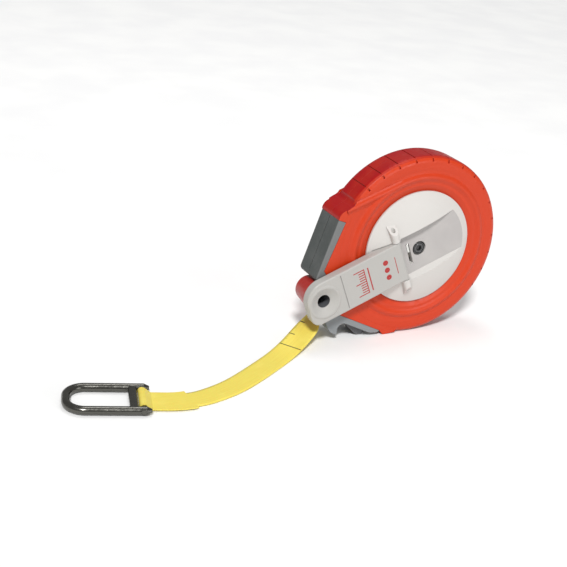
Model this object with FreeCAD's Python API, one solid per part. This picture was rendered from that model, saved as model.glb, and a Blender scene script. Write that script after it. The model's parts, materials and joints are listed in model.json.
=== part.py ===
import FreeCAD, Part
import math
import os

# A hand-wound 10 m tape measure: round closed case with a nose, folding crank, yellow blade
# that lies on the ground in front of the case, and a steel end ring.
# Millimetres.  +Z up, the nose points to -X, the crank disc faces -Y.
# Sub-parts are built around the hub axis (a line along Y through 0, 0) and moved to HUB at the end.

V = FreeCAD.Vector
os.makedirs("parts", exist_ok=True)

# ---- driving dimensions ------------------------------------------------------------------
RIM_R = 49.0             # case radius on the crowned rim
SHOULDER_R = 47.0        # where the rim meets the flank
FLANK_Y = 9.2            # flat flank, measured from the middle plane
RIDGE_R = 38.0           # raised ridge round each flank
RIDGE_Y = 10.15
WALL_IN_Y = 7.6          # inner face of each flank
CAVITY_R = 45.5
GROOVE_STEP = 12.0       # degrees between grip grooves
GROOVE_COUNT = 15
GROOVE_FIRST = 46.0      # degrees forward of the top

DISC_R = 30.7
DISC_TOP_Y = -15.3       # crown of the domed disc
DISC_EDGE_Y = -9.3
DISC_BACK_Y = -7.7
CHANNEL_BACK_Y = -10.8   # floor under the unfolded arm
CHANNEL_FRONT_Y = -10.2  # floor under the stowed arm

ARM_DEG = 23.5           # stowed arm points this far below straight ahead
HINGE_A = 12.8           # hinge axis, distance from the hub along the arm
HINGE_Y = -13.3
KNOB_A = 59.5            # knob axis, distance from the hub along the arm
ARM_END_A = 69.2
ARM_HALF = 11.4
ARM_TOP_Y = -15.3
ARM_IN_Y = -10.5
KNOB_R_NEAR = 8.5
KNOB_R_FAR = 6.8
KNOB_Y0 = -10.2
KNOB_Y1 = 5.6
SLEEVE_R = 4.4           # hollow axle of the knob
SLEEVE_BORE_R = 3.5
NOTCH_R = 9.5

AXLE_R = 4.0
DRUM_CORE_R = 14.0
COIL_R = 42.3            # 10 m of blade 0.5 mm thick on the core
FLANGE_R = 43.2
BLADE_W = 13.0
BLADE_T = 0.5

RING_BAR_R = 2.0
RING_HALF = 10.75        # bar centre to ring centre line
RING_PIN_R = 1.3
RING_FAR = -34.2         # middle line of the far bar, from the pin
RING_BEND = 8.6
WEB_X = (-6.2, -2.2)     # the ring's cross bar, from the pin
WEB_HALF = 1.6
LOOP_W = 16.0

HUB = V(7.9, 2.57, RIM_R)   # puts the origin under the middle of the object

GAP = 0.15               # panel gap between mouldings
X, Y, Z = V(1, 0, 0), V(0, 1, 0), V(0, 0, 1)
ARM_A = V(-math.cos(math.radians(ARM_DEG)), 0, -math.sin(math.radians(ARM_DEG)))
ARM_B = V(-math.sin(math.radians(ARM_DEG)), 0, math.cos(math.radians(ARM_DEG)))
KNOB_C = ARM_A * KNOB_A


# ---- small helpers -----------------------------------------------------------------------
def rod(r, y0, y1, x=0.0, z=0.0):
    """A cylinder along Y."""
    return Part.makeCylinder(r, y1 - y0, V(x, y0, z), Y)


def tube(ro, ri, y0, y1, x=0.0, z=0.0):
    return rod(ro, y0, y1, x, z).cut(rod(ri, y0 - 1, y1 + 1, x, z))


def outline(items, y=0.0):
    """A closed wire in the XZ plane: (x, z) points, and ("arc", mid, end) for round stretches."""
    edges = []
    first = V(items[0][0], y, items[0][1])
    here = first
    for item in items[1:] + [items[0]]:
        if item[0] == "arc":
            mid = V(item[1][0], y, item[1][1])
            end = V(item[2][0], y, item[2][1])
            edges.append(Part.Arc(here, mid, end).toShape())
            here = end
        else:
            end = V(item[0], y, item[1])
            if (end - here).Length > 1e-6:
                edges.append(Part.makeLine(here, end))
            here = end
    return Part.Wire(edges)


def plate(items, y0, y1):
    """The outline pushed out along Y from y0 to y1."""
    return Part.Face(outline(items, y0)).extrude(Y * (y1 - y0))


def turned(profile):
    """A ring turned about the hub axis from (radius, y) points."""
    pts = [V(r, y, 0) for r, y in profile]
    face = Part.Face(Part.makePolygon(pts + [pts[0]]))
    return face.revolve(V(0, 0, 0), Y, 360)


def arm_box(a0, a1, b0, b1, y0, y1):
    """A box in the arm's own directions."""
    p = [ARM_A * a + ARM_B * b + Y * y0 for a, b in ((a0, b0), (a1, b0), (a1, b1), (a0, b1))]
    return Part.Face(Part.makePolygon(p + [p[0]])).extrude(Y * (y1 - y0))


def arm_rod(r, a, y, b0, b1):
    """A cylinder across the arm, along ARM_B."""
    return Part.makeCylinder(r, b1 - b0, ARM_A * a + ARM_B * b0 + Y * y, ARM_B)


def rounded(shape, radius, pick):
    """Fillets the edges that pick accepts, and keeps the plain shape if that fails."""
    edges = [e for e in shape.Edges if pick(e)]
    try:
        made = shape.makeFillet(radius, edges)
    except Part.OCCError:
        return shape
    return made if made.isValid() and made.Volume > 0 else shape


def on_plane(e, y, tol=0.02):
    return abs(e.BoundBox.YMin - y) < tol and abs(e.BoundBox.YMax - y) < tol


def on_circle(centre, radius, deg):
    t = math.radians(deg)
    return (centre.x + radius * math.cos(t), centre.z + radius * math.sin(t))


NODES = {}


def keep(name, shape):
    shape = shape.removeSplitter() if len(shape.Solids) == 1 else shape
    shape = shape.copy()
    shape.translate(HUB)
    NODES[name] = shape
    shape.exportStep(os.path.join("parts", name + ".step"))


# ---- case --------------------------------------------------------------------------------
BUMPER_BACK_TOP = (-44.9, 16.4)
BUMPER_BACK_LOW = (-53.9, -9.2)
BUMPER_TOE = (-51.8, -12.4)
NOSE_TOP = (-49.2, 17.8)
NOSE_FRONT = (-57.8, -12.0)
STRIP_FRONT = (-42.0, -34.5)
STRIP_TIP = (-16.0, -46.2)
HEEL = (-13.5, -RIM_R)
NOTCH_TOP_DEG = 74.0
NOTCH_LOW_DEG = -52.0
SCREW_PITCH_R = 45.6
SCREW_DEGS = (140.0, 75.0, 10.0, -40.0, -84.0)
SCREW_R = 0.9
SCREW_HEAD_R = 1.4
SCREW_HEAD_Y = 8.9
BOSS_R = 1.8
BOSS_Y = 8.0


def nose_outline():
    top = on_circle(KNOB_C, NOTCH_R, NOTCH_TOP_DEG)
    low = on_circle(KNOB_C, NOTCH_R, NOTCH_LOW_DEG)
    mid = on_circle(KNOB_C, NOTCH_R, (NOTCH_TOP_DEG + NOTCH_LOW_DEG) / 2)
    return [(-30.0, 33.0), (-41.2, 25.4), (-46.4, 22.2), ("arc", (-48.4, 20.4), NOSE_TOP),
            BUMPER_BACK_TOP, BUMPER_BACK_LOW, BUMPER_TOE, top, ("arc", mid, low),
            (-44.0, -33.6), STRIP_FRONT, STRIP_TIP, HEEL, (-6.5, -48.3), (0.0, -40.0)]


def nose_cavity():
    """The hollow of the nose: the blade's way out below, a light pocket above."""
    low = plate([(-8.0, -30.0), (-10.0, -44.2), (-23.2, -41.2), (-23.6, -46.0), (-47.0, -46.0),
                 (-47.0, -35.4), (-44.6, -31.6), (-41.2, -30.0), (-30.0, -20.0)], -WALL_IN_Y, WALL_IN_Y)
    high = plate([(-38.0, 19.5), (-43.0, 15.5), (-51.4, -8.6), (-49.6, -11.6), (-40.0, -8.0)],
                 -WALL_IN_Y, WALL_IN_Y)
    return low.fuse(high)


def screw_places():
    return [on_circle(V(0, 0, 0), SCREW_PITCH_R, d) for d in SCREW_DEGS]


def grip_grooves():
    """Transverse grooves over the rim with a wider notch at each shoulder."""
    cuts = []
    for k in range(GROOVE_COUNT):
        deg = -GROOVE_FIRST + k * GROOVE_STEP
        line = Part.makeBox(0.5, 2 * 9.4, 1.2, V(-0.25, -9.4, RIM_R - 0.45))
        for side in (-1, 1):
            notch = Part.makeBox(0.9, 1.7, 1.5, V(-0.45, side * 8.9 - 0.85, SHOULDER_R - 0.6))
            line = line.fuse(notch)
        cuts.append(line.rotate(V(0, 0, 0), Y, deg))
    return Part.makeCompound(cuts)


def half_ring(side, inner_r):
    """One half of the round case wall with its flank, ridge and bevel.  side is -1 front, +1 rear."""
    section = [(CAVITY_R, 0), (RIM_R, 0), (RIM_R, 5.6), (48.75, 7.0), (48.1, 8.1), (SHOULDER_R, 8.8),
               (46.0, 9.1), (43.0, 9.1), (41.4, 8.95), (40.2, 9.1), (39.4, 9.6), (38.7, 10.0),
               (RIDGE_R, RIDGE_Y), (37.3, 10.0), (36.4, 9.5), (35.4, 9.1), (34.0, FLANK_Y - 0.1),
               (31.1, 8.05), (31.1, 8.0)]
    closing = [(inner_r, 8.0), (inner_r, WALL_IN_Y), (44.2, WALL_IN_Y), (CAVITY_R, 6.3)]
    return turned([(r, side * y) for r, y in section + closing])


def ridge_lead(side):
    """The straight part of the ridge, from the nose top to where it meets the round ridge."""
    end_deg = 112.9
    end = on_circle(V(0, 0, 0), RIDGE_R, end_deg)
    run = V(end[0] + 45.2, 0, end[1] - 22.4)
    length = run.Length
    half = [(0.0, 0.95), (0.7, 0.8), (1.6, 0.3), (2.6, 0.0), (2.6, -0.5)]
    p = [V(0, -w, h) for w, h in reversed(half)] + [V(0, w, h) for w, h in half[1:]]
    bar = Part.Face(Part.makePolygon(p + [p[0]])).extrude(X * length)
    # lay the bar's top towards the flank, then along the ridge line
    bar.rotate(V(0, 0, 0), X, 90 if side < 0 else -90)
    bar.rotate(V(0, 0, 0), Y, -math.degrees(math.atan2(run.z, run.x)))
    bar.translate(V(-45.2, side * FLANK_Y, 22.4))
    return bar


def rim_step():
    """The hollow step where the rim ends and the nose top begins."""
    return plate([(-40.4, 27.7), ("arc", (-41.0, 25.8), (-43.0, 24.3)), (-46.4, 22.2), (-47.2, 24.0),
                  (-46.0, 34.0), (-38.0, 34.0)], -12, 12)


def shell(side, inner_r):
    """One moulded half of the case."""
    y0, y1 = (-FLANK_Y, 0) if side < 0 else (0, FLANK_Y)
    nose = plate(nose_outline(), y0, y1)
    nose = rounded(nose, 1.4, lambda e: on_plane(e, side * FLANK_Y) and (
        e.BoundBox.ZMin > 17.0 or (e.BoundBox.ZMax < -46.0 and e.BoundBox.XMax < -6.0)))
    nose = nose.cut(rod(SHOULDER_R - 1.0, -20, 20))
    body = half_ring(side, inner_r).fuse(nose).fuse(ridge_lead(side)).cut(rim_step())
    body = body.cut(nose_cavity()).cut(grip_grooves()).cut(plate(bumper_outline(), -12, 12))
    under_strip = plate([STRIP_FRONT, STRIP_TIP, (-17.0, -52.0), (-44.0, -52.0)], -12, 12)
    body = body.cut(under_strip)
    for x, z in screw_places():
        body = body.fuse(rod(BOSS_R, min(0, side * BOSS_Y), max(0, side * BOSS_Y), x, z))
    return body.cut(rod(FLANGE_R + 0.8, -WALL_IN_Y + 0.01, WALL_IN_Y - 0.01))


def front_shell():
    body = shell(-1, 28.5)
    for x, z in screw_places():
        body = body.cut(rod(SCREW_R + 0.02, -6.6, 0.1, x, z))
    return body.cut(rod(ANVIL_R + 0.02, -8.7, -7.0, *ANVIL_AT))


def rear_shell():
    """The rear half closes over the drum with a flat wall that carries the axle."""
    body = shell(1, 28.5)
    wall = turned([(0, WALL_IN_Y), (33.6, WALL_IN_Y), (34.0, FLANK_Y - 0.1), (20.0, FLANK_Y), (0, FLANK_Y)])
    body = body.fuse(wall).cut(rod(3.02, 5.0, 12.0))
    for x, z in screw_places():
        body = body.cut(rod(SCREW_R + 0.15, -0.1, 12.0, x, z))
        body = body.cut(rod(SCREW_HEAD_R + 0.15, 7.9, 12.0, x, z))
    return body.cut(rod(ANVIL_R + 0.02, 7.0, 8.7, *ANVIL_AT))


def case_screws():
    """Five identical self-tapping screws, heads in the rear shell."""
    one = []
    for x, z in screw_places():
        screw = rod(SCREW_R, -6.0, 7.9, x, z).fuse(rod(SCREW_HEAD_R, 7.9, SCREW_HEAD_Y, x, z))
        slot_a = Part.makeBox(1.7, 1.0, 0.4, V(x - 0.85, 8.45, z - 0.2))
        slot_b = Part.makeBox(0.4, 1.0, 1.7, V(x - 0.2, 8.45, z - 0.85))
        one.append(screw.cut(slot_a).cut(slot_b))
    return Part.makeCompound(one)


def bumper_outline():
    toe_deg = 106.0
    toe = on_circle(KNOB_C, NOTCH_R, toe_deg)
    back = on_circle(KNOB_C, NOTCH_R, NOTCH_TOP_DEG)
    mid = on_circle(KNOB_C, NOTCH_R, (toe_deg + NOTCH_TOP_DEG) / 2)
    return [NOSE_TOP, NOSE_FRONT, ("arc", (-57.9, -13.0), toe), ("arc", mid, back), BUMPER_TOE,
            BUMPER_BACK_LOW, BUMPER_BACK_TOP]


def nose_bumper():
    """The grey pad on the front of the nose, full thickness, with a groove down its middle."""
    shape = plate(bumper_outline(), -FLANK_Y, FLANK_Y)
    nose = Part.Face(outline(nose_outline(), -12.0)).makeOffset2D(GAP).extrude(Y * 24)
    shape = shape.cut(nose)
    shape = rounded(shape, 0.9, lambda e: (on_plane(e, -FLANK_Y) or on_plane(e, FLANK_Y))
                    and e.BoundBox.XMin < -57.0 and e.BoundBox.ZMax > 10.0)
    dx, dz = NOSE_FRONT[0] - NOSE_TOP[0], NOSE_FRONT[1] - NOSE_TOP[1]
    length = math.hypot(dx, dz)
    groove = Part.makeBox(1.4, 0.6, length - 1.5, V(-0.7, -0.3, 0.8))
    groove.rotate(V(0, 0, 0), Y, math.degrees(math.atan2(dx, dz)))
    groove.translate(V(NOSE_TOP[0], 0, NOSE_TOP[1]))
    return shape.cut(groove)


# ---- mouth and brake ---------------------------------------------------------------------
GUIDE_AT = (-44.5, -39.9)
GUIDE_R = 2.1
ANVIL_AT = (-28.0, -37.9)
ANVIL_R = 1.2
CHEEK_IN_Y = 7.8
STRIP_DIR = V(STRIP_TIP[0] - STRIP_FRONT[0], 0, STRIP_TIP[1] - STRIP_FRONT[1]).normalize()
PRESS_DIR = V(-STRIP_DIR.z, 0, STRIP_DIR.x)
BUTTON_REF = V(-30.0, 0, -39.9)
BUTTON_TRAVEL = 0.6
PAD_SPARE = 0.08
STEM_S = (0.6, 5.6)
STEM_HALF = 5.0
STEM_TOP_N = -1.3
LUG_S = (2.3, 3.9)
LUG_N = (-2.3, -1.7)
LUG_HALF = 5.8
LEAD_IN = (-4.9, -42.65)
LEAD_TOP = (-43.9, -37.3)
MOUTH = (-50.6, -38.9)


def strip_point(s, n):
    p = BUTTON_REF + STRIP_DIR * s + PRESS_DIR * n
    return (p.x, p.z)


def strip_box(s0, s1, n0, n1, half):
    return plate([strip_point(s0, n0), strip_point(s1, n0), strip_point(s1, n1), strip_point(s0, n1)],
                 -half, half)


def mouth_piece():
    """Grey moulding under the nose: two cheeks, the prong, the finger hollow and a floor for the brake."""
    low = on_circle(KNOB_C, NOTCH_R, NOTCH_LOW_DEG)
    lip = on_circle(KNOB_C, NOTCH_R, -64.0)
    between = on_circle(KNOB_C, NOTCH_R, (NOTCH_LOW_DEG - 64.0) / 2)
    shape = plate([low, ("arc", between, lip), (-50.2, -35.2), (-49.0, -38.6), (-47.9, -41.0),
                   ("arc", (-46.2, -43.6), (-43.6, -45.4)), ("arc", (-42.2, -45.6), (-41.8, -44.4)),
                   ("arc", (-41.2, -41.2), (-38.9, -39.9)), (-37.2, -40.2), (-22.0, -47.0),
                   (-17.2, -47.3), ("arc", (-16.5, -46.9), STRIP_TIP), STRIP_FRONT, (-44.0, -33.6)],
                  -FLANK_Y, FLANK_Y)
    nose = Part.Face(outline(nose_outline(), -12.0)).makeOffset2D(GAP).extrude(Y * 24)
    shape = shape.cut(nose)
    way = plate([(-56.0, -31.0), (-56.0, -42.9), (-48.6, -40.3), (-46.8, -39.6), (-41.5, -38.9),
                 (-40.0, -38.95), (-34.0, -39.6), (-26.0, -41.0), (-20.0, -42.0), (-20.0, -31.0)],
                -CHEEK_IN_Y, CHEEK_IN_Y)
    shape = shape.cut(way)
    shape = shape.cut(rod(GUIDE_R + 0.02, -8.8, 8.8, *GUIDE_AT))
    shape = shape.cut(rod(GUIDE_R + 0.5, -CHEEK_IN_Y, CHEEK_IN_Y, *GUIDE_AT))
    window = strip_box(STEM_S[0] - 0.3, STEM_S[1] + 0.3, -9.0, 3.0, STEM_HALF + 0.3)
    lug_way = strip_box(LUG_S[0] - 0.3, LUG_S[1] + 0.3, LUG_N[0] - 0.02, LUG_N[1] + BUTTON_TRAVEL + 0.2,
                        LUG_HALF + 0.3)
    return shape.cut(window).cut(lug_way)


def guide_pin():
    """Polished bar that the blade slides over in the mouth."""
    return rod(GUIDE_R, -8.7, 8.7, *GUIDE_AT)


def anvil_pin():
    """Dowel above the blade that the brake presses it against."""
    return rod(ANVIL_R, -8.6, 8.6, *ANVIL_AT)


BUTTON_HALF = 6.4
WEDGE_TOP_N = -3.95
SPRING_T = 0.3
SPRING_HALF = 2.0
SPRING_N = (-6.3, -3.3)


def brake_button():
    """Wedge-shaped brake button with its stem through the floor."""
    wedge = plate([strip_point(-4.9, WEDGE_TOP_N), (-30.2, -47.0), ("arc", (-28.4, -48.2), (-26.2, -48.6)),
                   ("arc", (-24.9, -48.5), (-24.3, -47.6)), strip_point(8.5, WEDGE_TOP_N)],
                  -BUTTON_HALF, BUTTON_HALF)
    wedge = rounded(wedge, 0.7, lambda e: (on_plane(e, -BUTTON_HALF) or on_plane(e, BUTTON_HALF))
                    and e.BoundBox.ZMax < -46.0)
    stem = strip_box(STEM_S[0], STEM_S[1], -5.5, STEM_TOP_N, STEM_HALF)
    lugs = strip_box(LUG_S[0], LUG_S[1], LUG_N[0], LUG_N[1], LUG_HALF)
    seat = strip_box(-4.4, 0.2, SPRING_N[0], 0.0, SPRING_HALF + 0.4)
    return wedge.fuse(stem).fuse(lugs).cut(seat)


def lead_z(x):
    """Height of the blade's middle line inside the case."""
    return LEAD_IN[1] + (LEAD_TOP[1] - LEAD_IN[1]) * (LEAD_IN[0] - x) / (LEAD_IN[0] - LEAD_TOP[0])


def brake_pad():
    """Rubber pad on top of the stem, its face parallel to the blade above it."""
    drop = BLADE_T / 2 + BUTTON_TRAVEL + PAD_SPARE
    front = strip_point(STEM_S[0] + 0.2, STEM_TOP_N)
    rear = strip_point(STEM_S[1] - 0.2, STEM_TOP_N)
    front_x, rear_x = front[0] + 0.4, rear[0] + 0.9
    return plate([front, (front_x, lead_z(front_x) - drop), (rear_x, lead_z(rear_x) - drop), rear],
                 -STEM_HALF + 0.2, STEM_HALF - 0.2)


def brake_spring():
    """Bent leaf spring between the floor and the button's pocket."""
    low, high = SPRING_N
    line = [(-4.0, high), (-3.4, high), (-0.6, low + SPRING_T), (-0.2, low + SPRING_T)]
    upper = [strip_point(s, n) for s, n in line]
    lower = [strip_point(s, n - SPRING_T) for s, n in reversed(line)]
    return plate(upper + lower, -SPRING_HALF, SPRING_HALF)


def blade_lead():
    """The blade's straight way from the coil over the guide bar to the mouth."""
    half = BLADE_T / 2
    line = [LEAD_IN, LEAD_TOP, MOUTH]
    upper = [(x, z + half) for x, z in line]
    lower = [(x, z - half) for x, z in reversed(line)]
    return plate(upper + lower, -BLADE_W / 2, BLADE_W / 2).cut(free_blade())


# ---- reel --------------------------------------------------------------------------------
def axle():
    """Steel axle: spigot in the rear wall, journal for the drum, smaller journal for the disc."""
    body = rod(AXLE_R, -7.55, 7.05).fuse(rod(7.0, 7.0, WALL_IN_Y)).fuse(rod(3.0, WALL_IN_Y, 9.1))
    body = body.fuse(rod(3.0, -9.1, -7.5))
    return body.cut(rod(2.0, -9.2, 0.0)).cut(rod(1.2, 4.0, 9.2))


def bush(side):
    body = tube(5.6, AXLE_R + 0.05, 3.5, 6.5).fuse(tube(7.0, AXLE_R + 0.05, 6.5, 6.95))
    return body if side > 0 else body.mirror(V(0, 0, 0), Y)


def drum_core():
    """Spool hub with lightening holes and a slot for the blade's end hook."""
    body = tube(DRUM_CORE_R, 5.6, -6.5, 6.5)
    for k in range(6):
        x, z = on_circle(V(0, 0, 0), 9.8, 60.0 * k)
        body = body.cut(rod(2.3, -7, 7, x, z))
    return body.cut(Part.makeBox(3.0, 13.2, 1.0, V(11.5, -6.6, -0.5)))


def drum_flange(side):
    plate_ring = tube(FLANGE_R, 7.2, 6.6, 7.2)
    for k in range(6):
        x, z = on_circle(V(0, 0, 0), 28.0, 60.0 * k + 30.0)
        plate_ring = plate_ring.cut(rod(7.0, 6, 8, x, z))
    return plate_ring if side > 0 else plate_ring.mirror(V(0, 0, 0), Y)


def blade_coil():
    """The wound part of the blade."""
    return tube(COIL_R, DRUM_CORE_R + 0.02, -BLADE_W / 2, BLADE_W / 2)


def blade_hook():
    """Folded end of the blade, held in the core's slot."""
    return Part.makeBox(2.2, 12.0, 0.7, V(11.7, -6.0, -0.35))


# ---- crank -------------------------------------------------------------------------------
def crank_disc():
    """Domed disc with a channel for the arm, hinge barrels and a counterbored hub."""
    rise = DISC_EDGE_Y - DISC_TOP_Y
    ball_r = (DISC_R ** 2 + rise ** 2) / (2 * rise)
    body = rod(DISC_R, DISC_TOP_Y, -8.35).fuse(rod(27.8, -8.4, DISC_BACK_Y))
    body = body.common(Part.makeSphere(ball_r, V(0, DISC_TOP_Y + ball_r, 0)))
    barrels = arm_rod(2.3, HINGE_A, HINGE_Y, -22.0, 22.0)
    webs = arm_box(HINGE_A - 2.3, HINGE_A + 2.3, -22.0, 22.0, HINGE_Y, -9.5)
    posts = barrels.fuse(webs)
    for side in (-1, 1):
        ramp = [(15.5, HINGE_Y - 2.8), (23.0, HINGE_Y + 3.6), (23.0, HINGE_Y - 2.8)]
        pts = [ARM_A * (HINGE_A - 4) + ARM_B * (side * b) + Y * y for b, y in ramp]
        posts = posts.cut(Part.Face(Part.makePolygon(pts + [pts[0]])).extrude(ARM_A * 8))
    body = body.fuse(posts)
    # channels: the back one has sloping sides and ends where its floor runs out of the dome
    sides = [(-11.7, CHANNEL_BACK_Y), (11.7, CHANNEL_BACK_Y), (13.0, -18.0), (-15.6, -18.0)]
    pts = [ARM_A * -40 + ARM_B * b + Y * y for b, y in sides]
    body = body.cut(Part.Face(Part.makePolygon(pts + [pts[0]])).extrude(ARM_A * (HINGE_A + 37.3)))
    body = body.cut(arm_box(HINGE_A - 3.0, HINGE_A + 2.5, -11.7, 11.7, -30, CHANNEL_BACK_Y))
    body = body.cut(arm_box(HINGE_A - 2.4, 40, -11.7, 11.7, -30, CHANNEL_FRONT_Y))
    body = body.cut(arm_rod(1.0, HINGE_A, HINGE_Y, -30, 30))
    body = body.cut(rod(3.9, -30, -9.0)).cut(rod(3.05, -30, 0))
    return body.cut(arm_box(SLOT_A[0], SLOT_A[1], SLOT_B[0], SLOT_B[1], -20, 0))


SLOT_A = (5.2, 7.0)
SLOT_B = (-6.6, 5.6)
LEAF_B = (0.4, 5.3)


def clutch_leaf():
    """Sprung tongue in the disc's slot.  The arm's heel presses it in when the arm is unfolded."""
    tongue = arm_box(SLOT_A[0] + 0.3, SLOT_A[1] - 0.3, LEAF_B[0], LEAF_B[1], -10.5, -9.9)
    foot = arm_box(SLOT_A[0] + 0.3, SLOT_A[1] - 0.3, LEAF_B[1] - 3.0, LEAF_B[1], -9.9, -7.9)
    return tongue.fuse(foot)


def hub_washer():
    return tube(3.5, 2.05, -9.4, -9.1)


def hub_screw():
    """Black socket screw, low head, in the disc's counterbore."""
    head = rod(3.5, -10.7, -9.4)
    head = rounded(head, 0.35, lambda e: on_plane(e, -10.7))
    head = head.cut(tube(2.65, 2.25, -10.9, -10.45))
    body = head.fuse(rod(1.98, -9.4, -1.0))
    hexagon = [on_circle(V(0, 0, 0), 1.45, 60 * k) for k in range(6)]
    return body.cut(plate(hexagon, -11.0, -9.8))


def hinge_pin():
    return arm_rod(1.0, HINGE_A, HINGE_Y, -17.2, 17.2)


def arm_face(half, a_start, a_end, y):
    """The arm's plan: parallel sides and a blunt round end, as one face."""
    def at(a, b):
        return ARM_A * a + ARM_B * b + Y * y
    r_up, r_low = 10.4 * half / ARM_HALF, 5.2 * half / ARM_HALF
    c45 = math.sqrt(0.5)
    edges = [Part.makeLine(at(a_start, half), at(a_end - r_up, half)),
             Part.Arc(at(a_end - r_up, half), at(a_end - r_up + r_up * c45, half - r_up + r_up * c45),
                      at(a_end, half - r_up)).toShape(),
             Part.makeLine(at(a_end, half - r_up), at(a_end, -half + r_low)),
             Part.Arc(at(a_end, -half + r_low), at(a_end - r_low + r_low * c45, -half + r_low - r_low * c45),
                      at(a_end - r_low, -half)).toShape(),
             Part.makeLine(at(a_end - r_low, -half), at(a_start, -half)),
             Part.makeLine(at(a_start, -half), at(a_start, half))]
    return Part.Face(Part.Wire(edges))


def crank_arm():
    """Hollow-backed arm with its knuckle, a dished boss over the knob and a thin cross groove."""
    body = arm_face(ARM_HALF, HINGE_A, ARM_END_A, ARM_TOP_Y).extrude(Y * (ARM_IN_Y - ARM_TOP_Y))
    body = rounded(body, 0.8, lambda e: on_plane(e, ARM_TOP_Y) and
                   (e.CenterOfMass.dot(ARM_A) > HINGE_A + 1.0))
    body = body.fuse(arm_rod(2.0, HINGE_A, HINGE_Y, -ARM_HALF, ARM_HALF))
    boss_x, boss_z = KNOB_C.x, KNOB_C.z
    body = body.fuse(Part.makeCone(9.3, 8.6, 0.35, V(boss_x, ARM_TOP_Y, boss_z), -Y))
    dish = Part.makeCone(3.9, 7.9, 2.05, V(boss_x, ARM_TOP_Y + 1.7, boss_z), -Y)
    body = body.cut(dish)
    pocket = arm_face(ARM_HALF - 1.7, HINGE_A + 4.5, 47.0, ARM_TOP_Y + 1.6).extrude(Y * 6)
    pocket = pocket.common(arm_box(HINGE_A + 4.5, 47.0, -ARM_HALF, ARM_HALF, -20, 0))
    ribs = arm_box(31.0, 32.4, -ARM_HALF, ARM_HALF, -20, 0).fuse(arm_box(0, 60, -0.7, 0.7, -20, 0))
    body = body.cut(pocket.cut(ribs))
    body = body.cut(rod(SLEEVE_BORE_R, -17, 0, boss_x, boss_z))
    body = body.cut(rod(SLEEVE_R + 0.02, -13.52, 0, boss_x, boss_z))
    body = body.cut(arm_rod(1.06, HINGE_A, HINGE_Y, -20, 20))
    return body.cut(arm_box(47.6, 48.1, -ARM_HALF + 1.3, ARM_HALF - 1.3, ARM_TOP_Y - 1, ARM_TOP_Y + 0.4))


def knob_sleeve():
    """Hollow axle of the knob, pressed into the arm, with a flange that holds the knob on."""
    x, z = KNOB_C.x, KNOB_C.z
    body = rod(SLEEVE_R, -13.5, 4.5, x, z).fuse(rod(SLEEVE_R + 1.0, 4.3, 4.9, x, z))
    return body.cut(rod(SLEEVE_BORE_R, -14, 3.4, x, z))


def knob():
    """Tapered grip that turns on the sleeve."""
    x, z = KNOB_C.x, KNOB_C.z
    body = Part.makeCone(KNOB_R_NEAR, KNOB_R_FAR, KNOB_Y1 - KNOB_Y0, V(x, KNOB_Y0, z), Y)
    body = rounded(body, 1.0, lambda e: on_plane(e, KNOB_Y1))
    return body.cut(rod(SLEEVE_R + 0.07, -12, 8, x, z)).cut(rod(SLEEVE_R + 1.2, 4.2, 8, x, z))


def rear_cap():
    """Round cover over the axle's end, with a finger-grip ring."""
    cap = turned([(0, 9.25), (18.4, 9.25), (18.4, 9.9), (17.6, 10.5), (12.0, 10.5), (11.2, 10.1),
                  (3.0, 10.1), (2.4, 10.4), (0, 10.4)])
    return cap.fuse(rod(1.18, 5.0, 9.3))


# ---- free blade and end ring -------------------------------------------------------------
# Route of the free blade, as points on its middle line: from the mouth down to the ground
# and along it.  Every bend is either in an upright plane or in the ground plane.
GROUND_Z = -RIM_R + 0.6
ROUTE = [V(-50.6, 0.0, -38.9), V(-67.0, -11.48, GROUND_Z), V(-103.0, -36.68, GROUND_Z),
         V(-121.0, -46.8, GROUND_Z), V(-142.3, -52.6, GROUND_Z), V(-161.9, -47.0, GROUND_Z)]


def section_at(p, t):
    """The blade's rectangular section at point p, square to direction t, its width level."""
    w = Z.cross(t).normalize() * (BLADE_W / 2)
    n = t.cross(w).normalize() * (BLADE_T / 2)
    c = [p + w + n, p - w + n, p - w - n, p + w - n]
    return Part.Face(Part.makePolygon(c + [c[0]]))


BENDS = []


def free_blade():
    """Straight runs joined by tangent bends of the same section."""
    BENDS.clear()
    solids = []
    start = ROUTE[0]
    for i in range(1, len(ROUTE)):
        t = (ROUTE[i] - ROUTE[i - 1]).normalize()
        if i == len(ROUTE) - 1:
            solids.append(section_at(start, t).extrude(ROUTE[i] - start))
            break
        t2 = (ROUTE[i + 1] - ROUTE[i]).normalize()
        turn = t.getAngle(t2)
        shorter = min((ROUTE[i] - ROUTE[i - 1]).Length, (ROUTE[i + 1] - ROUTE[i]).Length)
        reach = 0.45 * shorter
        radius = reach / math.tan(turn / 2)
        BENDS.append("bend %d: %.1f degrees, radius %.0f mm" % (i, math.degrees(turn), radius))
        bend_start = ROUTE[i] - t * reach
        solids.append(section_at(start, t).extrude(bend_start - start))
        axis = t.cross(t2).normalize()
        centre = bend_start + axis.cross(t) * radius
        solids.append(section_at(bend_start, t).revolve(centre, axis, math.degrees(turn)))
        start = ROUTE[i] + t2 * reach
    body = solids[0]
    for s in solids[1:]:
        body = body.fuse(s)
    return body.removeSplitter()


def ring_frame(shape):
    """Turns a shape built along -X with its pin at the origin to its place at the blade's end."""
    shape = shape.copy()
    run = ROUTE[-1] - ROUTE[-2]
    shape.rotate(V(0, 0, 0), Z, math.degrees(math.atan2(run.y, run.x)) - 180.0)
    shape.translate(V(ROUTE[-1].x, ROUTE[-1].y, PIN_Z))
    return shape


LOOP_IN_R = RING_PIN_R + 0.06
PIN_Z = GROUND_Z + BLADE_T / 2 + LOOP_IN_R
WELD_TURN = 20.0         # degrees of the last bend that the turned-back end lies on


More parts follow.
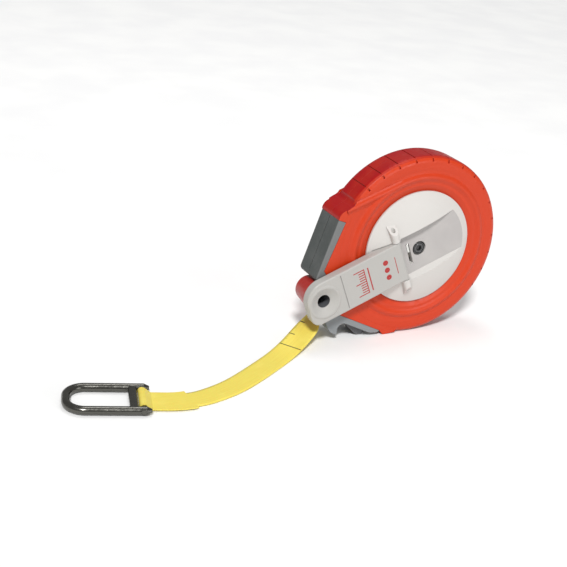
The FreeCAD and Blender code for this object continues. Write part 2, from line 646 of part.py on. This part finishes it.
def blade_end_loop():
    """The blade's end turned back round the ring pin and welded down on itself, into the last bend."""
    back = ROUTE[-2] - ROUTE[-1]
    away = ROUTE[-3] - ROUTE[-2]
    turn = back.getAngle(away)
    reach = 0.45 * min(back.Length, away.Length)
    straight = back.Length - reach
    ro = LOOP_IN_R + BLADE_T
    low = -LOOP_IN_R + 0.02
    top = low + BLADE_T
    half = LOOP_W / 2
    wall = plate([(0, -ro), ("arc", (-ro, 0), (0, ro)), (1.2, ro - 0.35), (4.2, top + 0.02), (straight, top),
                  (straight, low), (3.6, low), (1.0, LOOP_IN_R - 0.1),
                  (0, LOOP_IN_R), ("arc", (-LOOP_IN_R, 0), (0, -LOOP_IN_R))], -half, half)
    back.normalize()
    corner = ROUTE[-1] + back * straight + V(0, 0, PIN_Z + low - GROUND_Z)
    side = Z.cross(back) * half
    rise = V(0, 0, BLADE_T)
    section = [corner + side, corner - side, corner - side + rise, corner + side + rise, corner + side]
    axis = back.cross(away).normalize()
    centre = corner + axis.cross(back) * (reach / math.tan(turn / 2))
    bent = Part.Face(Part.makePolygon(section)).revolve(centre, axis, WELD_TURN)
    return ring_frame(wall).fuse(bent).removeSplitter()


def end_ring():
    """Closed bow of round bar: a cross bar, and two horns that carry the pin behind it."""
    y = RING_HALF
    far = RING_FAR + RING_BEND
    c = RING_BEND * math.sqrt(0.5)
    edges = [Part.makeLine(V(0, y, 0), V(far, y, 0)),
             Part.Arc(V(far, y, 0), V(far - c, y - RING_BEND + c, 0),
                      V(RING_FAR, y - RING_BEND, 0)).toShape(),
             Part.makeLine(V(RING_FAR, y - RING_BEND, 0), V(RING_FAR, -y + RING_BEND, 0)),
             Part.Arc(V(RING_FAR, -y + RING_BEND, 0), V(far - c, -y + RING_BEND - c, 0),
                      V(far, -y, 0)).toShape(),
             Part.makeLine(V(far, -y, 0), V(0, -y, 0))]
    spine = Part.Wire(edges)
    start = Part.Wire(Part.makeCircle(RING_BAR_R, V(0, y, 0), X))
    body = spine.makePipeShell([start], True, False)
    web = Part.makeBox(WEB_X[1] - WEB_X[0], 2 * y, 2 * WEB_HALF, V(WEB_X[0], -y, -WEB_HALF))
    body = body.fuse(rounded(web, 1.2, lambda e: abs(e.BoundBox.YLength - 2 * y) < 0.01))
    for side in (-1, 1):
        eye = Part.makeCylinder(RING_BAR_R, 1.2, V(0, side * y, 0), X)
        horn = Part.makeCone(RING_BAR_R, 0.9, 2.4, V(1.2, side * y, 0), X)
        body = body.fuse(eye).fuse(horn)
    body = body.cut(Part.makeCylinder(RING_PIN_R, 40, V(0, -20, 0), Y))
    return ring_frame(body)


def ring_pin():
    """Cross pin riveted through both bars."""
    pin = Part.makeCylinder(RING_PIN_R, 2 * (RING_HALF + 1.75), V(0, -RING_HALF - 1.75, 0), Y)
    return ring_frame(pin)


# ---- build -------------------------------------------------------------------------------
keep("front_shell", front_shell())
keep("rear_shell", rear_shell())
keep("case_screws", case_screws())
keep("nose_bumper", nose_bumper())
keep("mouth_piece", mouth_piece())
keep("guide_pin", guide_pin())
keep("anvil_pin", anvil_pin())
keep("brake_button", brake_button())
keep("brake_pad", brake_pad())
keep("brake_spring", brake_spring())
keep("axle", axle())
keep("bush_front", bush(-1))
keep("bush_rear", bush(1))
keep("drum_core", drum_core())
keep("drum_flange_front", drum_flange(-1))
keep("drum_flange_rear", drum_flange(1))
keep("blade_coil", blade_coil())
keep("blade_hook", blade_hook())
keep("blade_lead", blade_lead())
keep("crank_disc", crank_disc())
keep("clutch_leaf", clutch_leaf())
keep("hub_washer", hub_washer())
keep("hub_screw", hub_screw())
keep("hinge_pin", hinge_pin())
keep("crank_arm", crank_arm())
keep("knob_sleeve", knob_sleeve())
keep("knob", knob())
keep("rear_cap", rear_cap())
keep("free_blade", free_blade())
keep("blade_end_loop", blade_end_loop())
keep("end_ring", end_ring())
keep("ring_pin", ring_pin())

for text in BENDS:
    print("blade " + text)
RUNS = sum((ROUTE[i] - ROUTE[i - 1]).Length for i in range(1, len(ROUTE)))
print("free blade: runs add up to %.1f mm, volume / section = %.1f mm" %
      (RUNS, NODES["free_blade"].Volume / (BLADE_W * BLADE_T)))
for name, shape in NODES.items():
    print("%-18s solids %d valid %s volume %8.1f" % (name, len(shape.Solids), shape.isValid(), shape.Volume))
BODY = [s for n, s in NODES.items() if n not in ("free_blade", "blade_end_loop", "end_ring", "ring_pin")]
BOX = Part.makeCompound(BODY).BoundBox
print("object without the free blade: x %.2f..%.2f y %.2f..%.2f z %.2f..%.2f" %
      (BOX.XMin, BOX.XMax, BOX.YMin, BOX.YMax, BOX.ZMin, BOX.ZMax))
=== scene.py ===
import bpy
import json
import math
from mathutils import Matrix, Vector


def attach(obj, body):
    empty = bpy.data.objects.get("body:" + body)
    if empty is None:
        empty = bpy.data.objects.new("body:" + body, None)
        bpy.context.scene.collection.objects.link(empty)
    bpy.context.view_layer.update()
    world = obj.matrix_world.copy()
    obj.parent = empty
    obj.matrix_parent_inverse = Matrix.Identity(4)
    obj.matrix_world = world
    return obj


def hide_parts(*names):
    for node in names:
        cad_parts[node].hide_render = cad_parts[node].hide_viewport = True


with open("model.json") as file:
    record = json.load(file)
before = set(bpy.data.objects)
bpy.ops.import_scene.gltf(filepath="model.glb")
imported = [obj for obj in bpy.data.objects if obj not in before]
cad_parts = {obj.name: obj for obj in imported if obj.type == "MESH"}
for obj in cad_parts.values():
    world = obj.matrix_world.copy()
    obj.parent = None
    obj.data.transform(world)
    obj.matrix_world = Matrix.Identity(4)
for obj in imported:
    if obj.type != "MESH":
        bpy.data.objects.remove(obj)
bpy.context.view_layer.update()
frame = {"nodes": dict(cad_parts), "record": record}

# A hand-wound tape measure: materials for the CAD pieces, a smooth printed blade, and a pale studio.
NODES = frame["nodes"]
MM = 0.001
HUB = Vector((7.9, 2.57, 49.0)) * MM       # middle of the case, on the reel's axis
ARM_ANGLE = math.radians(23.5)
ARM_A = Vector((-math.cos(ARM_ANGLE), 0, -math.sin(ARM_ANGLE)))    # along the stowed arm
ARM_B = Vector((-math.sin(ARM_ANGLE), 0, math.cos(ARM_ANGLE)))     # across it
ARM_FRONT_Y = -12.3       # mm, everything in front of this is the arm's printed face
CHANNEL_Y = (-8.44, -7.3)  # mm, the floors of the disc's channel lie between these depths
BUMPER_MID = 6.0          # mm each side of the middle plane that belong to the bumper's tread
TICKS = 11
TICK_STEP = 1.4


# ---- materials ---------------------------------------------------------------------------
def lin(r, g, b):
    """A display colour, 0 to 255, as the linear colour that a shader takes."""
    out = []
    for c in (r, g, b):
        c /= 255
        out.append(c / 12.92 if c <= 0.04045 else ((c + 0.055) / 1.055) ** 2.4)
    return (*out, 1.0)


class Net:
    """A small helper round one material's node tree."""

    def __init__(self, name):
        self.mat = bpy.data.materials.new(name)
        self.mat.use_nodes = True
        self.t = self.mat.node_tree
        self.t.nodes.clear()
        self.out = self.t.nodes.new("ShaderNodeOutputMaterial")
        self.bsdf = self.t.nodes.new("ShaderNodeBsdfPrincipled")
        self.link(self.bsdf.outputs[0], self.out.inputs[0])
        self.coord = self.t.nodes.new("ShaderNodeTexCoord").outputs["Object"]

    def link(self, a, b):
        self.t.links.new(a, b)

    def put(self, value, socket):
        """Sets a socket from a number or colour, or links another node's output to it."""
        if hasattr(value, "is_output"):
            self.link(value, socket)
        else:
            socket.default_value = value

    def noise(self, size_mm, detail=2.0, stretch=None, rough=0.5):
        n = self.t.nodes.new("ShaderNodeTexNoise")
        n.inputs["Scale"].default_value = 1.0 / (size_mm * MM)
        n.inputs["Detail"].default_value = detail
        n.inputs["Roughness"].default_value = rough
        src = self.coord
        if stretch:
            m = self.t.nodes.new("ShaderNodeMapping")
            m.inputs["Scale"].default_value = stretch
            self.link(src, m.inputs["Vector"])
            src = m.outputs[0]
        self.link(src, n.inputs["Vector"])
        return n.outputs["Fac"]

    def math(self, op, a, b=0.0, c=0.0, clamp=False):
        n = self.t.nodes.new("ShaderNodeMath")
        n.operation = op
        n.use_clamp = clamp
        for i, v in enumerate((a, b, c)):
            self.put(v, n.inputs[i])
        return n.outputs[0]

    def ramp(self, fac, lo, hi, a=0.0, b=1.0):
        """Goes smoothly from a to b as fac goes from lo to hi."""
        n = self.t.nodes.new("ShaderNodeMapRange")
        n.interpolation_type = "SMOOTHSTEP"
        for i, v in enumerate((fac, lo, hi, a, b)):
            self.put(v, n.inputs[i])
        return n.outputs[0]

    def mix(self, fac, a, b):
        n = self.t.nodes.new("ShaderNodeMix")
        n.data_type = "RGBA"
        self.put(fac, n.inputs[0])
        self.put(a, n.inputs[6])
        self.put(b, n.inputs[7])
        return n.outputs[2]

    def bump(self, height, depth_mm, normal=None, strength=1.0):
        n = self.t.nodes.new("ShaderNodeBump")
        n.inputs["Strength"].default_value = strength
        n.inputs["Distance"].default_value = depth_mm * MM
        self.link(height, n.inputs["Height"])
        if normal is not None:
            self.link(normal, n.inputs["Normal"])
        return n.outputs[0]

    def bevel(self, radius_mm, samples=6):
        n = self.t.nodes.new("ShaderNodeBevel")
        n.samples = samples
        n.inputs["Radius"].default_value = radius_mm * MM
        return n.outputs[0]

    def geometry(self, name):
        return self.t.nodes.new("ShaderNodeNewGeometry").outputs[name]

    def dot(self, a, b):
        n = self.t.nodes.new("ShaderNodeVectorMath")
        n.operation = "DOT_PRODUCT"
        self.put(a, n.inputs[0])
        self.put(b, n.inputs[1])
        return n.outputs["Value"]

    def axis(self, vec, which):
        n = self.t.nodes.new("ShaderNodeSeparateXYZ")
        self.link(vec, n.inputs[0])
        return n.outputs[which]

    def local(self, origin, a, b):
        """Distances along a and b from origin, in mm."""
        n = self.t.nodes.new("ShaderNodeVectorMath")
        n.operation = "SUBTRACT"
        self.link(self.coord, n.inputs[0])
        n.inputs[1].default_value = origin
        u = self.math("MULTIPLY", self.dot(n.outputs[0], tuple(a)), 1000.0)
        v = self.math("MULTIPLY", self.dot(n.outputs[0], tuple(b)), 1000.0)
        return u, v

    def box(self, u, v, u0, u1, v0, v1, soft=0.06):
        """1 inside the box, 0 outside."""
        f = None
        for x, lo, hi in ((u, u0, u1), (v, v0, v1)):
            for g in (self.ramp(x, lo - soft, lo + soft), self.ramp(x, hi - soft, hi + soft, 1.0, 0.0)):
                f = g if f is None else self.math("MULTIPLY", f, g)
        return f


def moulded(name, colour, rough=0.42, grain=0.012, grain_mm=0.28, bevel=0.3, edge=0.10, edge_light=1.35,
            spec=0.45, mottle=0.05, coat=0.0, tint=None, prints=None, dirt=0.12, metal=0.0, scratch=0.25,
            aniso=None):
    """A moulded or machined surface: fine grain, uneven tone and gloss, rubbed edges, light scratches."""
    n = Net(name)
    base = colour
    # tint, where given, paints light or shade into the base colour: painted shade or a painted highlight
    if tint is not None:
        base = tint(n, colour)
    tone = n.noise(18, 3)
    fine = n.noise(2.2, 3)
    dark = tuple(c * (1 - mottle) for c in colour[:3]) + (1,)
    col = n.mix(n.ramp(tone, 0.35, 0.7, 0.0, 0.6), base, n.mix(0.5, base, dark))
    bev = n.bevel(bevel)
    wear = n.math("SUBTRACT", 1.0, n.dot(bev, n.geometry("Normal")), clamp=True)
    wear = n.math("MULTIPLY", n.ramp(wear, 0.01, 0.12), n.ramp(fine, 0.38, 0.62, 0.25, 1.0))
    light = tuple(min(1.0, c * edge_light + 0.01) for c in colour[:3]) + (1,)
    col = n.mix(n.math("MULTIPLY", wear, edge), col, light)
    if prints is not None:
        col = prints(n, col)
    specks = n.ramp(n.noise(0.9, 1, rough=0.7), 0.66, 0.74)
    col = n.mix(n.math("MULTIPLY", specks, dirt * 0.5), col, tuple(c * 0.55 for c in colour[:3]) + (1,))
    n.put(col, n.bsdf.inputs["Base Color"])
    lines = n.ramp(n.noise(7, 2, stretch=aniso or (14, 1.0, 1.2), rough=0.75), 0.62, 0.70)
    r = n.math("ADD", rough, n.ramp(fine, 0.3, 0.7, -0.06, 0.07))
    r = n.math("ADD", r, n.math("MULTIPLY", lines, 0.10 * scratch))
    r = n.math("ADD", r, n.math("MULTIPLY", wear, -0.05), clamp=True)
    n.put(r, n.bsdf.inputs["Roughness"])
    h = n.noise(grain_mm, 2, rough=0.6)
    nb = n.bump(h, grain, bev)
    nb = n.bump(lines, 0.004 * scratch * 4, nb)
    nb = n.bump(n.noise(9, 1), 0.04, nb, 0.6)
    n.put(nb, n.bsdf.inputs["Normal"])
    n.bsdf.inputs["Metallic"].default_value = metal
    n.bsdf.inputs["Specular IOR Level"].default_value = spec
    n.bsdf.inputs["Coat Weight"].default_value = coat
    n.bsdf.inputs["Coat Roughness"].default_value = 0.25
    return n.mat


def rim_painted_shade(n, colour):
    """Painted shade: the rim and nose top, which face away from the flank, are painted a deeper red than
    the flank, chosen by the way each face turns.
    """
    flank = n.math("ABSOLUTE", n.axis(n.geometry("Normal"), 1))
    return n.mix(n.ramp(flank, 0.25, 0.8), lin(154, 0, 8), colour)


def channel_painted_shade(n, colour):
    """Painted shade: the flat floor of the arm's channel, a recess in the disc, is painted a little greyer
    than the dome.
    """
    y = n.axis(n.coord, 1)
    flat = n.ramp(n.math("ABSOLUTE", n.axis(n.geometry("Normal"), 1)), 0.985, 0.996)
    front, back = CHANNEL_Y
    past_front = n.ramp(y, (front - 0.06) * MM, (front + 0.06) * MM)
    before_back = n.ramp(y, (back - 0.1) * MM, (back + 0.1) * MM, 1.0, 0.0)
    deep = n.math("MULTIPLY", past_front, before_back)
    return n.mix(n.math("MULTIPLY", flat, deep), colour, lin(169, 165, 163))


def bumper_painted_shade(n, colour):
    """Painted shade: the bumper's tread is painted darker than its edges on the flanks, chosen by the way
    each face turns.
    """
    flank = n.math("ABSOLUTE", n.axis(n.geometry("Normal"), 1))
    off_middle = n.math("ABSOLUTE", n.math("SUBTRACT", n.axis(n.coord, 1), HUB.y))
    outer = n.math("GREATER_THAN", off_middle, BUMPER_MID * MM)
    return n.mix(n.math("MULTIPLY", n.ramp(flank, 0.3, 0.9), outer), lin(72, 76, 75), colour)


def screw_painted_highlight(n, colour):
    """Painted highlight: a light grey ring on the screw's head, standing in for the shine on its turned
    rings.
    """
    u, v = n.local(tuple(HUB), ARM_A, ARM_B)
    d = n.math("SQRT", n.math("ADD", n.math("MULTIPLY", u, u), n.math("MULTIPLY", v, v)))
    band = n.math("MULTIPLY", n.ramp(d, 1.95, 2.05), n.ramp(d, 2.3, 2.4, 1.0, 0.0))
    return n.mix(n.math("MULTIPLY", band, 0.45), colour, lin(150, 150, 152))


def arm_prints(n, col):
    """Plain printed ruler ticks, two fine lines and three dots."""
    u, v = n.local(tuple(HUB), ARM_A, ARM_B)
    marks = n.box(u, v, 34.6, 35.1, -7.3, 7.3)
    for k in range(TICKS):
        at = (k - (TICKS - 1) / 2) * TICK_STEP
        top = 41.0 if k % 5 == 0 else 38.4
        marks = n.math("MAXIMUM", marks, n.box(u, v, 35.0, top, at - 0.28, at + 0.28))
    for u0, u1, half in ((32.2, 32.9, 7.0), (16.5, 16.9, 5.0)):
        marks = n.math("MAXIMUM", marks, n.box(u, v, u0, u1, -half, half))
    for at in (-4.4, 0.0, 4.4):
        du = n.math("SUBTRACT", u, 22.3)
        dv = n.math("SUBTRACT", v, at)
        d = n.math("SQRT", n.math("ADD", n.math("MULTIPLY", du, du), n.math("MULTIPLY", dv, dv)))
        marks = n.math("MAXIMUM", marks, n.ramp(d, 1.45, 1.55, 1.0, 0.0))
    y = n.axis(n.coord, 1)
    front = n.math("LESS_THAN", y, ARM_FRONT_Y * MM)
    worn = n.ramp(n.noise(0.35, 2), 0.24, 0.36)
    marks = n.math("MULTIPLY", n.math("MULTIPLY", marks, front), worn)
    return n.mix(marks, col, lin(160, 36, 36))


# Some materials take a tint: painted shade on the rim, the bumper's tread and the disc's channel, and a
# painted highlight on the screw's head.
MAT = {
    "red_plastic": moulded("red_plastic", lin(193, 56, 22), 0.36, tint=rim_painted_shade, edge=0.22, edge_light=1.25,
                           spec=0.3, dirt=0.06),
    "grey_rubber": moulded("grey_rubber", lin(112, 113, 113), 0.62, tint=bumper_painted_shade, grain=0.03,
                           grain_mm=0.22, edge=0.35, edge_light=2.0, spec=0.35),
    "grey_plastic": moulded("grey_plastic", lin(126, 130, 132), 0.5, edge=0.3, edge_light=1.5),
    "dark_plastic": moulded("dark_plastic", lin(84, 85, 88), 0.45, edge=0.3, edge_light=1.8),
    "red_knob": moulded("red_knob", lin(160, 28, 20), 0.38, edge=0.2, edge_light=1.3, coat=0.2),
    "white_plastic": moulded("white_plastic", lin(197, 194, 190), 0.42, edge=0.05, edge_light=1.1,
                             spec=0.35, mottle=0.03, tint=channel_painted_shade, dirt=0.05),
    "arm_plastic": moulded("arm_plastic", lin(171, 169, 165), 0.38, edge=0.15, edge_light=1.2, mottle=0.04,
                           spec=0.4, prints=arm_prints, dirt=0.06),
    "drum_plastic": moulded("drum_plastic", lin(60, 60, 62), 0.5),
    "bush_plastic": moulded("bush_plastic", lin(214, 210, 198), 0.4),
    "bright_steel": moulded("bright_steel", lin(226, 226, 222), 0.22, grain=0.004, metal=1.0, spec=0.5,
                            scratch=1.0, aniso=(1, 22, 1)),
    "black_steel": moulded("black_steel", lin(20, 20, 22), 0.2, grain=0.004, metal=0.0, edge=0.6,
                           edge_light=4.0, spec=0.6, coat=0.3, tint=screw_painted_highlight),
    "ring_steel": moulded("ring_steel", lin(98, 97, 92), 0.22, grain=0.006, grain_mm=0.5, metal=0.95,
                          edge=0.3, edge_light=2.0, mottle=0.2, dirt=0.2, scratch=0.5, aniso=(1, 8, 1)),
}
ZERO_MM = 26.5            # from the mouth to the blade's zero line
BLADE_YELLOW = lin(231, 213, 93)


def blade_material(name, marks):
    """Coated glass-fibre strip: lengthwise fibres, a faint weave, and printed marks where asked."""
    n = Net(name)
    uv = n.t.nodes.new("ShaderNodeUVMap")
    uv.uv_map = "along"
    u = n.math("MULTIPLY", n.axis(uv.outputs[0], 0), 1000.0)
    v = n.math("MULTIPLY", n.axis(uv.outputs[0], 1), 1000.0)
    if not marks:
        u, v = n.local(tuple(HUB), (1, 0, 0), (0, 1, 0))
    comb = n.t.nodes.new("ShaderNodeCombineXYZ")
    n.put(n.math("MULTIPLY", u, 0.04), comb.inputs[0])
    n.put(n.math("MULTIPLY", v, 2.2), comb.inputs[1])
    fib = n.t.nodes.new("ShaderNodeTexNoise")
    fib.inputs["Scale"].default_value = 1.6
    fib.inputs["Detail"].default_value = 3
    n.link(comb.outputs[0], fib.inputs["Vector"])
    fibre = fib.outputs["Fac"]
    tone = n.noise(11, 3)
    col = n.mix(n.ramp(fibre, 0.3, 0.75, 0.0, 0.55), BLADE_YELLOW, lin(216, 192, 76))
    col = n.mix(n.ramp(tone, 0.5, 0.8, 0.0, 0.3), col, lin(250, 236, 130))
    if marks:
        top = n.ramp(n.axis(n.geometry("Normal"), 2), 0.2, 0.4)
        zero = n.box(u, v, ZERO_MM - 0.32, ZERO_MM + 0.32, -6.3, 6.3)
        ink = zero
        for k in (1, 2):
            ten = ZERO_MM - 10 * k
            ink = n.math("MAXIMUM", ink, n.box(u, v, ten - 0.3, ten + 0.3, 3.0, 6.4))
            for j in range(1, 10):
                at = ZERO_MM - 10 * (k - 1) - j
                reach = 4.6 if j == 5 else 5.3
                ink = n.math("MAXIMUM", ink, n.box(u, v, at - 0.08, at + 0.08, reach, 6.4, 0.03))
        rub = n.ramp(n.noise(0.3, 2), 0.28, 0.42)
        col = n.mix(n.math("MULTIPLY", n.math("MULTIPLY", ink, rub), top), col, lin(34, 32, 26))
    grime = n.ramp(n.noise(3.5, 4, rough=0.7), 0.62, 0.8)
    col = n.mix(n.math("MULTIPLY", grime, 0.18), col, lin(176, 156, 70))
    n.put(col, n.bsdf.inputs["Base Color"])
    n.put(n.ramp(fibre, 0.2, 0.8, 0.36, 0.52), n.bsdf.inputs["Roughness"])
    nb = n.bump(fibre, 0.02)
    nb = n.bump(n.noise(0.35, 2), 0.012, nb)
    n.put(nb, n.bsdf.inputs["Normal"])
    n.bsdf.inputs["Subsurface Weight"].default_value = 0.06
    n.bsdf.inputs["Subsurface Scale"].default_value = 0.001
    return n.mat


# ---- free blade --------------------------------------------------------------------------
# The CAD blade's route in mm, moved to the hub's place: from the mouth down to the floor and along it.
ROUTE = [(-42.7, 2.57, 10.1), (-59.1, -8.91, 0.6), (-95.1, -34.11, 0.6), (-113.1, -44.23, 0.6),
         (-134.4, -50.03, 0.6), (-154.0, -44.43, 0.6)]
BLADE_W = 13.0
BLADE_T = 0.5
MOUTH_RUN = 15.0          # mm from the mouth over which the blade's width turns square to its run


def route_points():
    """Points along the smooth route, read from a NURBS curve through the route's control points."""
    cu = bpy.data.curves.new("route", "CURVE")
    cu.dimensions = "3D"
    sp = cu.splines.new("NURBS")
    sp.points.add(len(ROUTE) - 1)
    for p, co in zip(sp.points, ROUTE):
        p.co = (co[0] * MM, co[1] * MM, co[2] * MM, 1)
    sp.order_u = 3
    sp.use_endpoint_u = True
    sp.resolution_u = 24
    ob = bpy.data.objects.new("route", cu)
    bpy.context.scene.collection.objects.link(ob)
    dg = bpy.context.evaluated_depsgraph_get()
    me = bpy.data.meshes.new_from_object(ob.evaluated_get(dg))
    pts = [v.co.copy() for v in me.vertices]
    bpy.data.objects.remove(ob)
    bpy.data.meshes.remove(me)
    return pts


def mesh_object(name, verts, faces, mats, smooth=True):
    me = bpy.data.meshes.new(name)
    me.from_pydata([tuple(v) for v in verts], [], faces)
    for m in mats:
        me.materials.append(m)
    if smooth:
        me.polygons.foreach_set("use_smooth", [True] * len(me.polygons))
    me.update()
    ob = bpy.data.objects.new(name, me)
    bpy.context.scene.collection.objects.link(ob)
    return ob


def ribbon():
    """The blade as a thin strip with rounded edges, level across, its mouth end square to the case."""
    pts = route_points()
    run = [0.0]                      # distance from the mouth at each point
    for a, b in zip(pts, pts[1:]):
        run.append(run[-1] + (b - a).length)
    across = 10
    ring = []                        # the section: (offset across, upper or lower face)
    half, thick = BLADE_W / 2 * MM, BLADE_T / 2 * MM
    for k in range(across + 1):
        ring.append((-half + 2 * half * k / across, 1))
    for k in range(across, -1, -1):
        ring.append((-half + 2 * half * k / across, -1))
    verts, uvs = [], []
    for i, p in enumerate(pts):
        t = (pts[min(i + 1, len(pts) - 1)] - pts[max(i - 1, 0)]).normalized()
        level = Vector((0, 0, 1)).cross(t).normalized()
        mouth = Vector((0, -1, 0))
        f = min(1.0, run[i] / (MOUTH_RUN * MM))
        f = f * f * (3 - 2 * f)
        w = (mouth * (1 - f) + level * f).normalized()
        w = (w - t * w.dot(t) * f).normalized()
        n = t.cross(w).normalized()
        if n.z < 0:
            n = -n
        for off, side in ring:
            edge = abs(off) / half
            th = thick * (1 - 0.45 * max(0.0, edge - 0.9) / 0.1)
            verts.append(p + w * off + n * side * th)
            uvs.append((run[i], -off))
    m = len(ring)
    faces = []
    for i in range(len(pts) - 1):
        for k in range(m):
            j = (k + 1) % m
            faces.append((i * m + k, (i + 1) * m + k, (i + 1) * m + j, i * m + j))
    faces.append(tuple(range(m)))
    last = (len(pts) - 1) * m
    faces.append(tuple(reversed(range(last, last + m))))
    ob = mesh_object("blade_ribbon", verts, faces, [blade_material("blade_marked", True)])
    uvl = ob.data.uv_layers.new(name="along")
    for loop in ob.data.loops:
        uvl.data[loop.index].uv = uvs[loop.vertex_index]
    return ob, pts, run[-1]


MAT["blade"] = blade_material("blade_plain", False)
slots = {s["node"]: s["material_slot"] for s in frame["record"]["subparts"]}
for name, ob in NODES.items():
    ob.data.materials.clear()
    ob.data.materials.append(MAT[slots[name]])

strip, centre, strip_len = ribbon()
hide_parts("free_blade")
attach(strip, "case")

# ---- stage -------------------------------------------------------------------------------
FLOOR_HALF = 3
floor = mesh_object("floor", [(-FLOOR_HALF, -FLOOR_HALF, 0), (FLOOR_HALF, -FLOOR_HALF, 0),
                              (FLOOR_HALF, FLOOR_HALF, 0), (-FLOOR_HALF, FLOOR_HALF, 0)],
                    [(0, 1, 2, 3)], [], False)
paper = Net("floor")
paper_colour = paper.mix(paper.ramp(paper.noise(60, 3), 0.3, 0.7), lin(240, 240, 240), lin(245, 245, 244))
paper.put(paper_colour, paper.bsdf.inputs["Base Color"])
paper.put(paper.ramp(paper.noise(1.5, 3), 0.3, 0.7, 0.62, 0.72), paper.bsdf.inputs["Roughness"])
paper.put(paper.bump(paper.noise(0.6, 3), 0.02), paper.bsdf.inputs["Normal"])
paper.bsdf.inputs["Specular IOR Level"].default_value = 0.2
floor.data.materials.append(paper.mat)

world = bpy.data.worlds.new("studio")
bpy.context.scene.world = world
world.use_nodes = True
bg = world.node_tree.nodes["Background"]
bg.inputs[0].default_value = (1, 1, 1, 1)
bg.inputs[1].default_value = 0.3


def area(name, where, aim, size, power):
    """A soft lamp at where, turned to face aim."""
    lamp = bpy.data.lights.new(name, "AREA")
    lamp.shape = "DISK"
    lamp.size = size
    lamp.energy = power
    ob = bpy.data.objects.new(name, lamp)
    ob.location = where
    ob.rotation_mode = "QUATERNION"
    ob.rotation_quaternion = (Vector(where) - Vector(aim)).to_track_quat("Z", "Y")
    bpy.context.scene.collection.objects.link(ob)
    return ob


def sun(name, where, strength, angle):
    """Parallel light from the direction of where."""
    lamp = bpy.data.lights.new(name, "SUN")
    lamp.energy = strength
    lamp.angle = math.radians(angle)
    ob = bpy.data.objects.new(name, lamp)
    ob.rotation_mode = "QUATERNION"
    ob.rotation_quaternion = Vector(where).to_track_quat("Z", "Y")
    bpy.context.scene.collection.objects.link(ob)


sun("key", (-0.35, -0.60, 0.80), 2.8, 10)
area("top", (0.05, 0.25, 0.95), (-0.03, 0, 0.04), 0.4, 2.0)
strip_light = area("side", (0.38, -0.95, 0.26), (0, 0, 0.05), 0.42, 2.0)
strip_light.data.shape = "RECTANGLE"
strip_light.data.size_y = 0.12

lens = bpy.data.cameras.new("camera")
lens.lens = 76.19
lens.sensor_width = 36
lens.clip_start = 0.01
lens.clip_end = 20
camera = bpy.data.objects.new("camera", lens)
right = Vector((0.89377, -0.43618, 0.10452))
up = Vector((0.08273, 0.38936, 0.91736))
back = Vector((-0.44083, -0.81127, 0.38408))
turn = Matrix((right, up, back)).transposed()
camera.matrix_world = Matrix.Translation(Vector((-331.194, -490.153, 264.082)) * MM) @ turn.to_4x4()
bpy.context.scene.collection.objects.link(camera)
bpy.context.scene.camera = camera
bpy.context.scene.view_settings.view_transform = "Standard"
bpy.context.scene.view_settings.look = "None"
